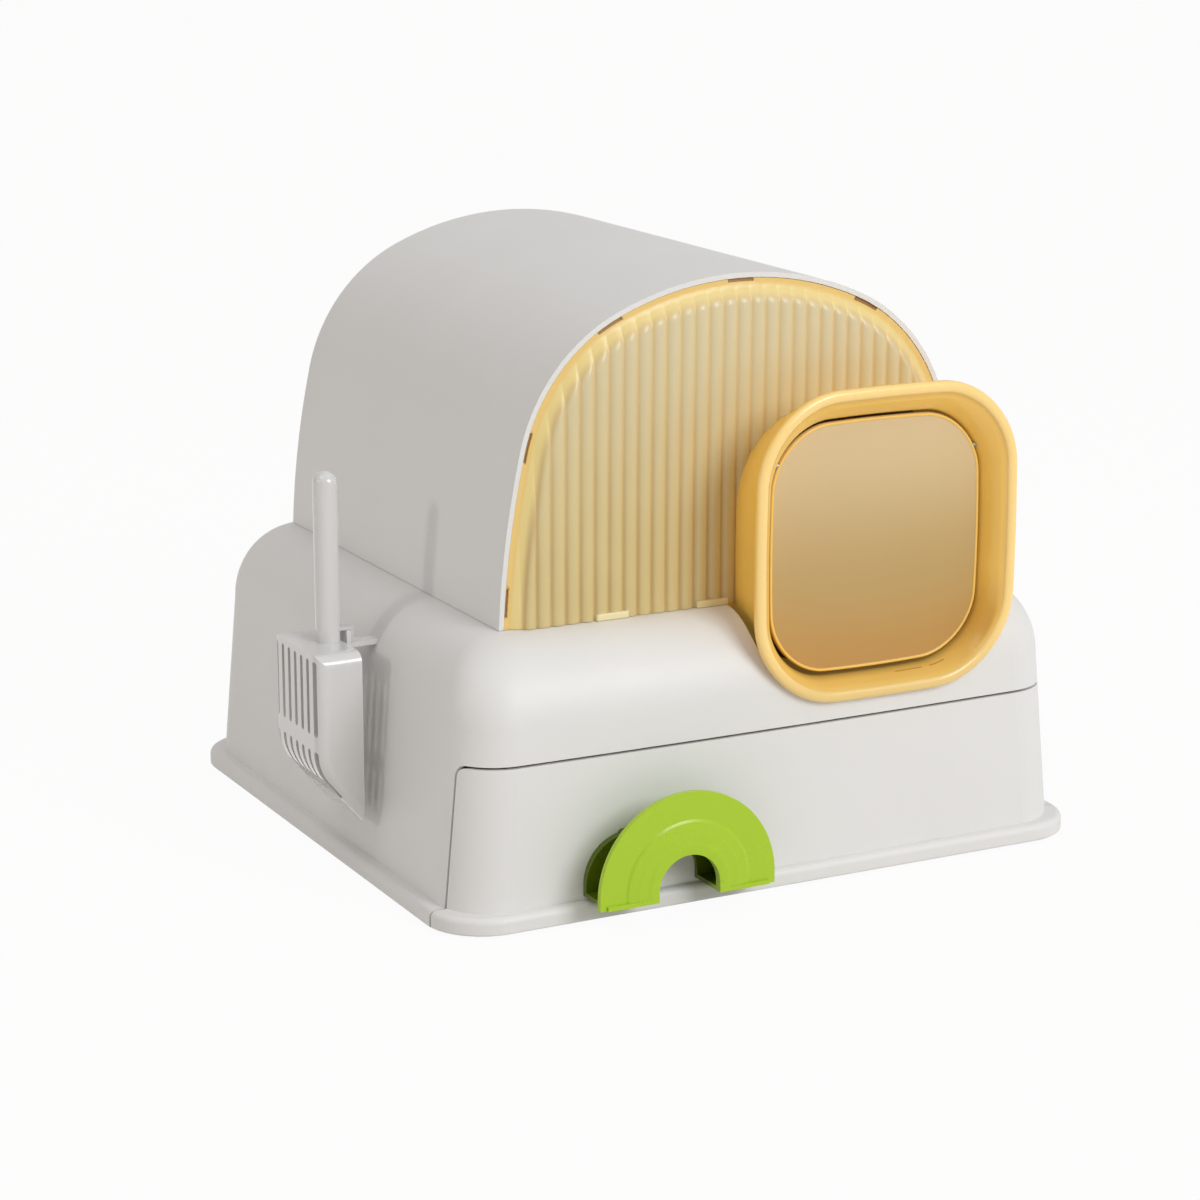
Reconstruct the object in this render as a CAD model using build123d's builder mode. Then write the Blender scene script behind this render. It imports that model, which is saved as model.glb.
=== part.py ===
"""Drawer litter box: a drawer housing, a lift-off vaulted hood with a fluted window and a swinging flap.

Millimetres. X runs right along the front, Y towards the back and Z up. The origin is on the floor under
the middle of the base. The front faces -Y.
"""

import os
from math import cos, radians, sin, sqrt, tan

from build123d import *

os.makedirs("parts", exist_ok=True)

# ---- Driving dimensions --------------------------------------------------------------------------

# Foot flange that runs round the base, and the rubber feet under it
flange_width = 500.0
flange_depth = 476.0
flange_corner = 42.0
flange_height = 12.0
flange_rounding = 4.5
flange_reach = 10.0
foot_gap = 2.0
pan_inset = 18.0
foot_radius = 12.0
foot_recess = 1.0
foot_inset = 48.0

# Body: drafted walls under a rounded shoulder, with a front face that bows out a little
body_corner = 38.0
body_height = 189.0
shoulder_rise = 55.0
side_shoulder = 46.0
front_shoulder = 50.0
back_shoulder = 32.0
side_draft = 4.5
end_draft = 2.3
front_crown = 3.0
top_corner = 16.0
wall = 3.0

# Drawer: fascia, litter tray and how far it pulls out
fascia_height = 110.5
fascia_gap = 1.8
fascia_depth = 25.0
fascia_corner = 6.0
fascia_wall = 3.5
floor_wall = 3.0
tray_inset = 11.0
tray_width = 436.0
tray_length = 418.0
tray_height = 88.0
tray_corner = 44.0
tray_floor_rounding = 9.0
tray_draft = 3.5
tray_wall = 2.5
tray_rim = 5.0
runner_height = 3.0
runner_width = 8.0
runner_spread = 300.0
guide_height = 16.0
spacer_width = 22.0
spacer_spread = 340.0

# Hood: a vault of three tangent arcs, the same from front to back
hood_height = 227.0
hood_front = -170.5
hood_length = 361.0
hood_wall = 3.5
crown_radius = 230.0
crown_angle = 24.0
haunch_radius = 128.0
haunch_angle = 77.0
flank_radius = 670.0
locating_rim_height = 8.0
locating_rim_wall = 2.5
locating_play = 1.0
locating_corner = 14.0

# Window and back panel
panel_wall = 2.5
panel_setback = 0.5
window_border = 14.0
window_rise = 7.0
window_slope = 55.0
flute_pitch = 10.8
flute_depth = 1.9
lug_length = 14.0
lug_reach = 6.0
lug_depth = 5.0
lug_angles = (16, 47, 80)
notch_length = 20.0
notch_depth = 2.4
notch_angles = (0, 32, 63, 97)
spoke_height = 229.0
window_tab_width = 24.0
window_tab_height = 4.5
window_tab_wall = 1.2
window_tab_places = (-101.0, -24.0)

# Entry tunnel, its lip and the flap that hangs in it
tunnel_centre = 83.3
tunnel_middle = 228.8
throat_width = 177.0
throat_height = 186.5
throat_corner = 58.0
tube_corner = 47.0
flare_stations = ((-8.0, 0.04), (0.0, 0.16), (7.0, 0.3), (15.0, 0.62), (19.0, 1.0))
tunnel_wall = 2.5
tunnel_crown = 3.0
tunnel_tail = 7.0
lip_plane = -227.0
lip_width = 208.0
lip_height = 217.0
lip_corner = 60.0
lip_raise = 4.7
lip_thickness = 6.0
lip_band = 8.0
lip_rounding = 2.6
lip_cover = 7.0
collar_reach = 5.0
collar_wall = 2.0
retainer_wall = 3.5
flap_plane = -212.0
flap_wall = 2.6
flap_bead = 1.0
flap_bead_width = 5.0
flap_gap = 1.8
flap_sill = 4.0
flap_axis_drop = 27.0
pin_radius = 2.0
pin_length = 10.0
pin_seat = 2.0
boss_radius = 4.6
knuckle_radius = 3.4

# Drawer handle in the shape of an arch
handle_centre = -89.0
handle_foot = 17.0
handle_leg = 7.0
handle_outer = 66.0
handle_inner = 23.0
handle_reach = 36.0
handle_plate = 4.0
handle_back = 3.0
handle_back_width = 122.0
handle_back_height = 41.0
handle_back_corner = 34.0
handle_web_radius = 44.0
handle_web = 4.5
handle_step = 1.0
screw_radius = 2.0
screw_head_radius = 4.0
screw_head_height = 2.0
screw_length = 14.0
screw_spread = 62.0
screw_height = 55.0
screw_boss_radius = 4.5
screw_seat = 6.5
screw_pad_radius = 6.0

# Litter scoop and the hook that it hangs from
scoop_place = -58.0
scoop_rim = -250.0
scoop_bottom = 44.0
scoop_top = 165.0
scoop_bend = 84.0
scoop_bend_radius = 34.0
scoop_depth = 33.0
scoop_width = 78.0
scoop_rounding = 8.0
scoop_wall = 2.2
scoop_handle_radius = 8.5
scoop_length = 240.0
slot_width = 4.4
slot_pitch = 11.0
slot_count = 7
slot_length = 53.0
slot_end = 4.0
slot_bar = 10.5
short_slot_length = 35.0
tongue_wall = 2.2
tongue_width = 9.0
hook_width = 12.0
hook_wall = 3.0
hook_height = 172.0
hook_lip = 9.0

# Clearances
running_gap = 0.3
fit_gap = 0.4
bore_gap = 0.05
cut_gap = 1.6
overcut = 60.0
overlap = 1.0

# ---- Worked out from the driving dimensions ------------------------------------------------------

flange_top = foot_gap + flange_height
body_half = flange_width / 2 - flange_reach
body_front = flange_reach - flange_depth / 2
body_back = flange_depth / 2 - flange_reach
wall_top = body_height - shoulder_rise
drawer_split = body_front + fascia_depth
floor_top = foot_gap + floor_wall
tray_bottom = floor_top + runner_height + running_gap
tray_top = tray_bottom + tray_height
panel_front = hood_front + panel_setback
panel_back = panel_front + panel_wall
hood_back = hood_front + hood_length
hood_foot = body_height + running_gap
tray_front = body_front + tray_inset
tray_lean = tray_height * tan(radians(tray_draft))
guide_line = tray_width / 2 + wall / 2 + running_gap
foot_front = drawer_split + fascia_gap + 2 * foot_radius
foot_places = [
    (side * (flange_width / 2 - foot_inset), y)
    for side in (-1, 1)
    for y in (foot_front, flange_depth / 2 - foot_inset)
]
screw_places = [(handle_centre + side * screw_spread / 2, screw_height) for side in (-1, 1)]
cutout_width = lip_width - 2 * lip_cover
cutout_height = lip_height - 2 * lip_cover
flare_width = lip_width - 2 * lip_band + 2 * tunnel_wall - throat_width
flare_height = lip_height - 2 * lip_band + 2 * tunnel_wall - throat_height
cutout_centre = (tunnel_centre, tunnel_middle + lip_raise)
tunnel_end = panel_back + tunnel_tail
tube_width = throat_width - 2 * tunnel_wall
tube_height = throat_height - 2 * tunnel_wall
tube_top = tunnel_middle + tube_height / 2
flap_width = tube_width - 2 * flap_gap
flap_height = tube_height - flap_gap - flap_sill
flap_middle = tube_top - flap_gap - flap_height / 2
flap_corner = tube_corner - tunnel_wall - flap_gap
flap_axis = tube_top - flap_gap - flap_axis_drop
handle_front = body_front - handle_reach
handle_axis = handle_foot + handle_leg
scoop_face = scoop_rim - scoop_depth
scoop_bar = scoop_rim - scoop_handle_radius
scoop_tip = scoop_bottom + scoop_length
scoop_slope = (scoop_bend - scoop_bottom) / scoop_depth
slot_middle = scoop_top - slot_end - slot_length / 2
short_slot_middle = scoop_top - slot_end - slot_length - slot_bar - short_slot_length / 2
tongue_front = scoop_rim + 2 * hook_wall + running_gap
tongue_foot = hook_height - hook_lip + running_gap
pad_foot = hook_height + running_gap
hook_root = side_shoulder - body_half
hook_front = scoop_rim + hook_wall
rear_panel_back = hood_back - panel_setback
rear_panel_front = rear_panel_back - panel_wall


# ---- Shared forms --------------------------------------------------------------------------------


def plan_section(height, half_width, front, back, corner, crown):
    """Rounded rectangle at a height, with its front edge bowed out by the crown."""
    with BuildSketch(Plane.XY.offset(height)) as section:
        with BuildLine():
            Polyline((-half_width, front), (-half_width, back), (half_width, back), (half_width, front))
            ThreePointArc((half_width, front), (0, front - crown), (-half_width, front))
        make_face()
        fillet(section.vertices(), corner)
    return section.sketch


def body_form(skin=0.0):
    """The body from the flange to the top, its faces moved inwards by the skin."""
    side_lean = (wall_top - flange_top) * tan(radians(side_draft))
    end_lean = (wall_top - flange_top) * tan(radians(end_draft))
    corner = body_corner - skin
    foot = plan_section(
        flange_top, body_half - skin, body_front + skin, body_back - skin, corner, front_crown
    )
    shoulder = []
    for angle in (0, 22, 45, 68, 90):
        inward = 1 - cos(radians(angle))
        shoulder.append(
            plan_section(
                wall_top + (shoulder_rise - skin) * sin(radians(angle)),
                body_half - side_lean - skin - (side_shoulder - skin) * inward,
                body_front + end_lean + skin + (front_shoulder - skin) * inward,
                body_back - end_lean - skin - (back_shoulder - skin) * inward,
                corner - (body_corner - top_corner) * inward,
                front_crown,
            )
        )
    loft([foot, shoulder[0]], ruled=True)
    loft(shoulder)


def drawer_region(gap):
    """Everything in front of the split and under the fascia's top, seen from the side."""
    top = fascia_height + gap
    with BuildSketch(Plane.YZ.offset(-flange_width)) as side_view:
        with BuildLine():
            FilletPolyline(
                (drawer_split + gap, -overcut),
                (drawer_split + gap, top),
                (body_front - overcut, top),
                radius=fascia_corner + gap,
            )
            Polyline(
                (body_front - overcut, top),
                (body_front - overcut, -overcut),
                (drawer_split + gap, -overcut),
            )
        make_face()
    extrude(side_view.sketch, amount=2 * flange_width)


def arch_arcs(inset=0.0):
    """Centres of the haunch and flank arcs, and the points where the arcs meet."""
    turn, lean = radians(crown_angle), radians(haunch_angle)
    crown_z = body_height + hood_height - crown_radius
    haunch_x = (crown_radius - haunch_radius) * sin(turn)
    haunch_z = crown_z + (crown_radius - haunch_radius) * cos(turn)
    flank_x = haunch_x + (haunch_radius - flank_radius) * sin(lean)
    flank_z = haunch_z + (haunch_radius - flank_radius) * cos(lean)
    return crown_z, (haunch_x, haunch_z), (flank_x, flank_z)


def flank_half(height, inset=0.0):
    """Half the vault's width at a height on its flank arc."""
    flank_x, flank_z = arch_arcs()[2]
    return flank_x + sqrt((flank_radius - inset) ** 2 - (height - flank_z) ** 2)


def arch_outline(inset=0.0, foot=hood_foot, mode=Mode.ADD):
    """Front view of the vault: crown, haunch and flank arcs, tangent where they meet."""
    turn, lean = radians(crown_angle), radians(haunch_angle)
    crown_z, haunch, flank = arch_arcs()

    def on_arc(x, z, radius, angle):
        return (x + (radius - inset) * sin(angle), z + (radius - inset) * cos(angle))

    top = on_arc(0, crown_z, crown_radius, 0)
    crown_mid = on_arc(0, crown_z, crown_radius, turn / 2)
    crown_foot = on_arc(0, crown_z, crown_radius, turn)
    haunch_mid = on_arc(*haunch, haunch_radius, (turn + lean) / 2)
    haunch_foot = on_arc(*haunch, haunch_radius, lean)
    middle = (foot + haunch_foot[1]) / 2
    flank_mid = (flank_half(middle, inset), middle)
    base_x = flank_half(foot, inset)
    with BuildLine() as outline:
        ThreePointArc(top, crown_mid, crown_foot)
        ThreePointArc(crown_foot, haunch_mid, haunch_foot)
        ThreePointArc(haunch_foot, flank_mid, (base_x, foot))
        Line((base_x, foot), (0, foot))
        mirror(about=Plane.YZ)
    make_face(outline.edges(), mode=mode)


def arch_spokes(angles, width, inset, reach):
    """Short blocks along the inside of the vault, one on each spoke and its mirror image."""
    with BuildSketch(mode=Mode.PRIVATE) as spokes:
        for angle in sorted({side * angle for angle in angles for side in (-1, 1)}):
            turn = radians(angle)
            place = (hood_height / 2 * sin(turn), spoke_height + hood_height / 2 * cos(turn))
            with Locations(place):
                Rectangle(width, hood_height, rotation=-angle)
        arch_outline(inset, hood_foot - overcut, mode=Mode.INTERSECT)
        arch_outline(inset + reach, hood_foot - overcut, mode=Mode.SUBTRACT)
    add(spokes.sketch)


def soft_square(width, height, corner, centre=(0.0, 0.0), crown=tunnel_crown, mode=Mode.ADD):
    """A square with crowned sides and rounded corners, as the tunnel and the flap have."""
    right, high = width / 2 - crown, height / 2 - crown
    with BuildSketch(mode=Mode.PRIVATE) as square:
        with BuildLine():
            ThreePointArc((-right, -high), (0, -height / 2), (right, -high))
            ThreePointArc((right, -high), (width / 2, 0), (right, high))
            ThreePointArc((right, high), (0, height / 2), (-right, high))
            ThreePointArc((-right, high), (-width / 2, 0), (-right, -high))
        make_face()
        fillet(square.vertices(), corner)
    with Locations(centre):
        add(square.sketch, mode=mode)


def front_plane(y):
    """Plane seen from the front at a depth: local x runs right and local y up."""
    return Plane((0, y, 0), x_dir=(1, 0, 0), z_dir=(0, -1, 0))


def corner_half(width, height, corner, rise):
    """Half the width of a rounded square at a rise above its middle."""
    past = max(abs(rise) - (height / 2 - corner), 0)
    return width / 2 - corner + sqrt(corner**2 - past**2)


def funnel_form(skin, mode=Mode.ADD):
    """The tunnel's tube and flare, its surface moved inwards by the skin, lofted from back to front."""
    stations = [(tunnel_end, 0.0, throat_corner), (hood_front, 0.0, throat_corner)]
    stations += [(flap_plane - step, share, tube_corner) for step, share in flare_stations]
    sections = []
    for y, share, corner in stations:
        with BuildSketch(front_plane(y)) as section:
            soft_square(
                throat_width + share * flare_width - 2 * skin,
                throat_height + share * flare_height - 2 * skin,
                corner + share * (lip_corner - lip_band - tube_corner) - skin,
                (tunnel_centre, tunnel_middle + share * lip_raise),
            )
        sections.append(section.sketch)
    loft(sections, ruled=True, mode=mode)


def panel_plate(front, thickness, inset):
    """Flat arch-shaped panel between two depths."""
    with BuildSketch(front_plane(front)) as outline:
        arch_outline(inset)
    extrude(outline.sketch, amount=-thickness)


def hood_lugs(front):
    """Lugs inside the vault that a panel is seated against."""
    with BuildSketch(front_plane(front)) as lugs:
        arch_spokes(lug_angles, lug_length, hood_wall / 2, hood_wall / 2 + lug_reach)
    extrude(lugs.sketch, amount=-lug_depth)


def bowl_form(inset):
    """The scoop's bowl as a block, its faces moved inwards by the inset, its rim side past the rim."""
    past = 2 * inset
    with BuildSketch(Plane.XZ.offset(-scoop_place)) as side_view:
        with BuildLine():
            FilletPolyline(
                (scoop_rim + past, scoop_bottom - past * scoop_slope),
                (scoop_face, scoop_bend),
                (scoop_face, scoop_top),
                radius=scoop_bend_radius,
            )
            Polyline(
                (scoop_face, scoop_top),
                (scoop_rim + past, scoop_top),
                (scoop_rim + past, scoop_bottom - past * scoop_slope),
            )
        make_face()
        if inset > 0:
            offset(amount=-inset)
    extrude(side_view.sketch, amount=scoop_width / 2 - inset, both=True)


def bowl_edges(block):
    """Edges that run round the bowl's face, without those of its rim."""
    return [
        edge
        for edge in block.edges()
        if edge.bounding_box().min.X < scoop_rim - overlap and edge.bounding_box().size.Y < overlap
    ]


def handle_band(outer, inner):
    """Arch-shaped band of the handle: a half ring on two short legs."""
    with Locations((handle_centre, handle_axis)):
        Circle(outer)
    with Locations((handle_centre, handle_foot + handle_leg / 2)):
        Rectangle(2 * outer, handle_leg)
    with Locations((handle_centre, handle_axis)):
        Circle(inner, mode=Mode.SUBTRACT)
    with Locations((handle_centre, handle_foot)):
        Rectangle(2 * inner, 2 * handle_leg, mode=Mode.SUBTRACT)
    with Locations((handle_centre, handle_foot - outer)):
        Rectangle(3 * outer, 2 * outer, mode=Mode.SUBTRACT)


rim_width = 2 * (flank_half(hood_foot + locating_rim_height, hood_wall) - locating_play)
rim_front = panel_back + locating_play
rim_back = rear_panel_front - lug_depth - locating_play
rim_length = rim_back - rim_front
rim_middle = (rim_front + rim_back) / 2
rim_corner = locating_corner
hinge_share = flare_stations[1][1]
hinge_wall = corner_half(
    tube_width + hinge_share * flare_width,
    tube_height + hinge_share * flare_height,
    tube_corner - tunnel_wall,
    flap_axis - tunnel_middle - hinge_share * lip_raise,
)
pin_end = hinge_wall + pin_seat
flap_edge = corner_half(flap_width, flap_height, flap_corner, flap_axis - flap_middle) - tunnel_crown

# Forms that several pieces are cut from
with BuildPart() as body_solid:
    body_form()
with BuildPart() as body_void:
    body_form(wall)
with BuildPart() as fascia_void:
    body_form(fascia_wall)
with BuildPart() as drawer_space:
    drawer_region(0)
with BuildPart() as drawer_opening:
    drawer_region(fascia_gap)
with BuildPart() as flange_tray:
    # The foot flange as a rounded slab, hollowed above its floor up to the body's inner face
    with BuildSketch(Plane.XY.offset(foot_gap)):
        RectangleRounded(flange_width, flange_depth, flange_corner)
    extrude(amount=flange_height)
    fillet(flange_tray.faces().sort_by(Axis.Z)[-1].edges(), flange_rounding)
    fillet(flange_tray.faces().sort_by(Axis.Z)[0].edges(), flange_rounding / 3)
    with BuildSketch(Plane.XY.offset(floor_top)):
        RectangleRounded(
            2 * (body_half - wall), body_back - body_front - 2 * wall, body_corner - wall
        )
    extrude(amount=flange_height, mode=Mode.SUBTRACT)

with BuildPart() as tray_hollow:
    # Inside of the litter tray
    with BuildSketch(Plane.XY.offset(tray_bottom + tray_wall)):
        with Locations((0, tray_front + tray_length / 2)):
            RectangleRounded(
                tray_width - 2 * tray_lean - 2 * tray_wall,
                tray_length - 2 * tray_lean - 2 * tray_wall,
                tray_corner - tray_lean - tray_wall,
            )
    extrude(amount=tray_height, taper=-tray_draft)
    fillet(tray_hollow.faces().sort_by(Axis.Z)[0].edges(), tray_floor_rounding - tray_wall)
with BuildPart() as window_hollow:
    # Behind the window's raised field, kept clear of the flat border round the tunnel
    with BuildSketch(front_plane(panel_front + 2 * panel_wall)) as hollow_outline:
        arch_outline(hood_wall + fit_gap + window_border + panel_wall, hood_foot - overcut)
    extrude(hollow_outline.sketch, amount=window_rise, taper=window_slope)
    with BuildSketch(front_plane(panel_front + 2 * panel_wall)) as border_outline:
        soft_square(
            throat_width + 4 * collar_reach + 2 * panel_wall,
            throat_height + 4 * collar_reach + 2 * panel_wall,
            throat_corner + 2 * collar_reach + panel_wall,
            (tunnel_centre, tunnel_middle),
        )
    extrude(border_outline.sketch, amount=2 * window_rise, mode=Mode.SUBTRACT)
with BuildPart() as bowl_hollow:
    # Inside of the scoop's bowl
    bowl_form(scoop_wall)
    fillet(bowl_edges(bowl_hollow), scoop_rounding - scoop_wall)

# ---- Base and body -------------------------------------------------------------------------------

with BuildPart() as base_plate:
    add(flange_tray.part)
    add(drawer_opening.part, mode=Mode.SUBTRACT)
    for side in (-1, 1):
        # Runner that the tray slides on, and the guide beside it
        with BuildSketch(Plane.XY.offset(floor_top)):
            with Locations((side * runner_spread / 2, (body_back + drawer_split) / 2)):
                Rectangle(runner_width, body_back - drawer_split - 8 * wall)
        extrude(amount=runner_height)
        with BuildSketch(Plane.XY.offset(floor_top)):
            with Locations((side * guide_line, (body_back + drawer_split) / 2)):
                Rectangle(wall, body_back - drawer_split - 8 * wall)
        extrude(amount=guide_height)
    # Floor pan that stands on the ground inside the flange, with recesses for the feet
    with BuildSketch():
        with Locations((0, (drawer_split + body_back) / 2)):
            RectangleRounded(
                2 * (body_half - pan_inset),
                body_back - drawer_split - 2 * pan_inset,
                body_corner - pan_inset,
            )
    extrude(amount=foot_gap)
    with BuildSketch():
        with Locations(*foot_places):
            Circle(foot_radius + fit_gap)
    extrude(amount=foot_gap + foot_recess, mode=Mode.SUBTRACT)

with BuildPart() as foot_pads:
    with BuildSketch(Plane.XY):
        with Locations(*foot_places):
            Circle(foot_radius)
    extrude(amount=foot_gap + foot_recess)
    chamfer(foot_pads.faces().group_by(Axis.Z)[0].edges(), foot_gap / 4)

with BuildPart() as housing:
    add(body_solid.part)
    add(body_void.part, mode=Mode.SUBTRACT)
    add(drawer_opening.part, mode=Mode.SUBTRACT)
    # Locating rim that the hood drops over
    with BuildSketch(Plane.XY.offset(body_height - wall)):
        with Locations((0, rim_middle)):
            RectangleRounded(rim_width, rim_length, rim_corner)
    extrude(amount=wall + locating_rim_height)
    with BuildSketch(Plane.XY.offset(body_height - 2 * wall)):
        with Locations((0, rim_middle)):
            RectangleRounded(
                rim_width - 2 * locating_rim_wall,
                rim_length - 2 * locating_rim_wall,
                rim_corner - locating_rim_wall,
            )
    extrude(amount=overcut, mode=Mode.SUBTRACT)
    # Cut-out that hugs the tunnel and stays open upwards, so that the hood lifts off
    with BuildSketch(front_plane(body_front - overcut)):
        soft_square(cutout_width, cutout_height, tube_corner + cut_gap, cutout_centre)
        with Locations((cutout_centre[0], cutout_centre[1] + cutout_height / 2)):
            Rectangle(cutout_width, cutout_height)
    extrude(amount=-(overcut + tunnel_end + wall - body_front), mode=Mode.SUBTRACT)

with BuildPart() as scoop_hook:
    with BuildSketch(Plane.XZ.offset(-scoop_place)):
        with BuildLine():
            Polyline(
                (hook_front, hook_height),
                (hook_front, hook_height - hook_lip - hook_wall),
                (hook_root, hook_height - hook_lip - hook_wall),
                (hook_root, hook_height - hook_lip),
                (hook_front + hook_wall, hook_height - hook_lip),
                (hook_front + hook_wall, hook_height),
                close=True,
            )
        make_face()
    extrude(amount=hook_width / 2, both=True)
    add(body_solid.part, mode=Mode.SUBTRACT)

# ---- Drawer --------------------------------------------------------------------------------------

with BuildPart() as drawer_front:
    add(body_solid.part)
    add(fascia_void.part, mode=Mode.SUBTRACT)
    add(flange_tray.part)
    add(drawer_space.part, mode=Mode.INTERSECT)
    for side in (-1, 1):
        # Spacer between the fascia and the tray's rim, and the rest under the tray's front
        with BuildSketch(Plane.XY.offset(floor_top - floor_wall / 2)):
            with Locations((side * spacer_spread / 2, (tray_front + body_front + fascia_wall) / 2)):
                Rectangle(spacer_width, tray_front - body_front - fascia_wall)
        extrude(amount=tray_top - floor_top)
        with BuildSketch(Plane.XY.offset(floor_top)):
            with Locations((side * runner_spread / 2, drawer_split - fascia_depth / 4)):
                Rectangle(runner_width, fascia_depth / 2)
        extrude(amount=runner_height + running_gap)
    # Flat seats for the screw heads, and the holes through them
    with BuildSketch(front_plane(body_front + screw_seat)):
        with Locations(*screw_places):
            Circle(screw_pad_radius)
    extrude(amount=screw_seat)
    with BuildSketch(front_plane(tray_front)):
        with Locations(*screw_places):
            Circle(screw_radius + bore_gap)
    extrude(amount=overcut, mode=Mode.SUBTRACT)

with BuildPart() as litter_tray:
    with BuildSketch(Plane.XY.offset(tray_bottom)):
        with Locations((0, tray_front + tray_length / 2)):
            RectangleRounded(
                tray_width - 2 * tray_lean, tray_length - 2 * tray_lean, tray_corner - tray_lean
            )
    extrude(amount=tray_height, taper=-tray_draft)
    fillet(litter_tray.faces().sort_by(Axis.Z)[0].edges(), tray_floor_rounding)
    add(tray_hollow.part, mode=Mode.SUBTRACT)
    with BuildSketch(Plane.XY.offset(tray_top - tray_wall)):
        with Locations((0, tray_front + tray_length / 2)):
            RectangleRounded(tray_width + 2 * tray_rim, tray_length, tray_corner)
            RectangleRounded(
                tray_width - 2 * tray_wall,
                tray_length - 2 * tray_wall,
                tray_corner - tray_wall,
                mode=Mode.SUBTRACT,
            )
    extrude(amount=tray_wall)

with BuildPart() as drawer_handle:
    with BuildSketch(front_plane(handle_front)):
        handle_band(handle_outer, handle_inner)
    extrude(amount=-handle_plate)
    for step, outer in ((1, 41.0), (2, 30.0)):
        with BuildSketch(front_plane(handle_front - step * handle_step)):
            handle_band(outer, handle_inner)
        extrude(amount=-handle_plate)
    with BuildSketch(front_plane(handle_front + handle_plate / 2)):
        handle_band(handle_web_radius + handle_web / 2, handle_web_radius - handle_web / 2)
        with Locations(*screw_places):
            Circle(screw_boss_radius)
    extrude(amount=-(handle_reach + handle_plate))
    # Back pad with rounded shoulders, which lies against the fascia
    with BuildSketch(front_plane(body_front - front_crown - handle_back)):
        with BuildLine():
            half = handle_back_width / 2
            top = handle_foot + handle_back_height
            FilletPolyline(
                (handle_centre - half, handle_foot),
                (handle_centre - half, top),
                (handle_centre + half, top),
                (handle_centre + half, handle_foot),
                radius=handle_back_corner,
            )
            Line((handle_centre + half, handle_foot), (handle_centre - half, handle_foot))
        make_face()
        with Locations((handle_centre, handle_axis)):
            Circle(handle_inner, mode=Mode.SUBTRACT)
        with Locations((handle_centre, handle_foot)):
            Rectangle(2 * handle_inner, 2 * handle_leg, mode=Mode.SUBTRACT)
    extrude(amount=-handle_plate - handle_back)
    # Floor plates that close the legs
    with BuildSketch(Plane.XY.offset(handle_foot)):
        for side in (-1, 1):
            with Locations((handle_centre + side * (half + handle_inner) / 2, handle_front + handle_reach / 2)):
                Rectangle(half - handle_inner, handle_reach + handle_plate)
    extrude(amount=handle_back)
    add(body_solid.part, mode=Mode.SUBTRACT)
    with BuildSketch(front_plane(body_front)):
        with Locations(*screw_places):
            Circle(screw_radius)
    extrude(amount=screw_length, mode=Mode.SUBTRACT)

with BuildPart() as handle_screws:
    with BuildSketch(front_plane(body_front + screw_seat)):
        with Locations(*screw_places):
            Circle(screw_head_radius)
    extrude(amount=-screw_head_height)
    with BuildSketch(front_plane(body_front + screw_seat)):
        with Locations(*screw_places):
            Circle(screw_radius)
    extrude(amount=screw_length)

# ---- Hood ----------------------------------------------------------------------------------------

with BuildPart() as hood_shell:
    with BuildSketch(front_plane(hood_front)):
        arch_outline()
        arch_outline(hood_wall, hood_foot - overcut, mode=Mode.SUBTRACT)
    extrude(amount=-hood_length)
    hood_lugs(panel_back)
    hood_lugs(rear_panel_front - lug_depth)
    # The front lugs stop short of the tunnel's retainer, and the wall is relieved where the tube passes
    with BuildSketch(front_plane(hood_front)):
        soft_square(
            throat_width + 2 * collar_reach + 2 * fit_gap,
            throat_height + 2 * collar_reach + 2 * fit_gap,
            throat_corner + collar_reach + fit_gap,
            (tunnel_centre, tunnel_middle),
        )
        arch_outline(hood_wall, hood_foot - overcut, mode=Mode.INTERSECT)
        soft_square(
            throat_width + 2 * fit_gap,
            throat_height + 2 * fit_gap,
            throat_corner + fit_gap,
            (tunnel_centre, tunnel_middle),
        )
    extrude(amount=hood_front - tunnel_end - fit_gap, mode=Mode.SUBTRACT)

with BuildPart() as rear_panel:
    panel_plate(rear_panel_front, panel_wall, hood_wall + fit_gap)

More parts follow.
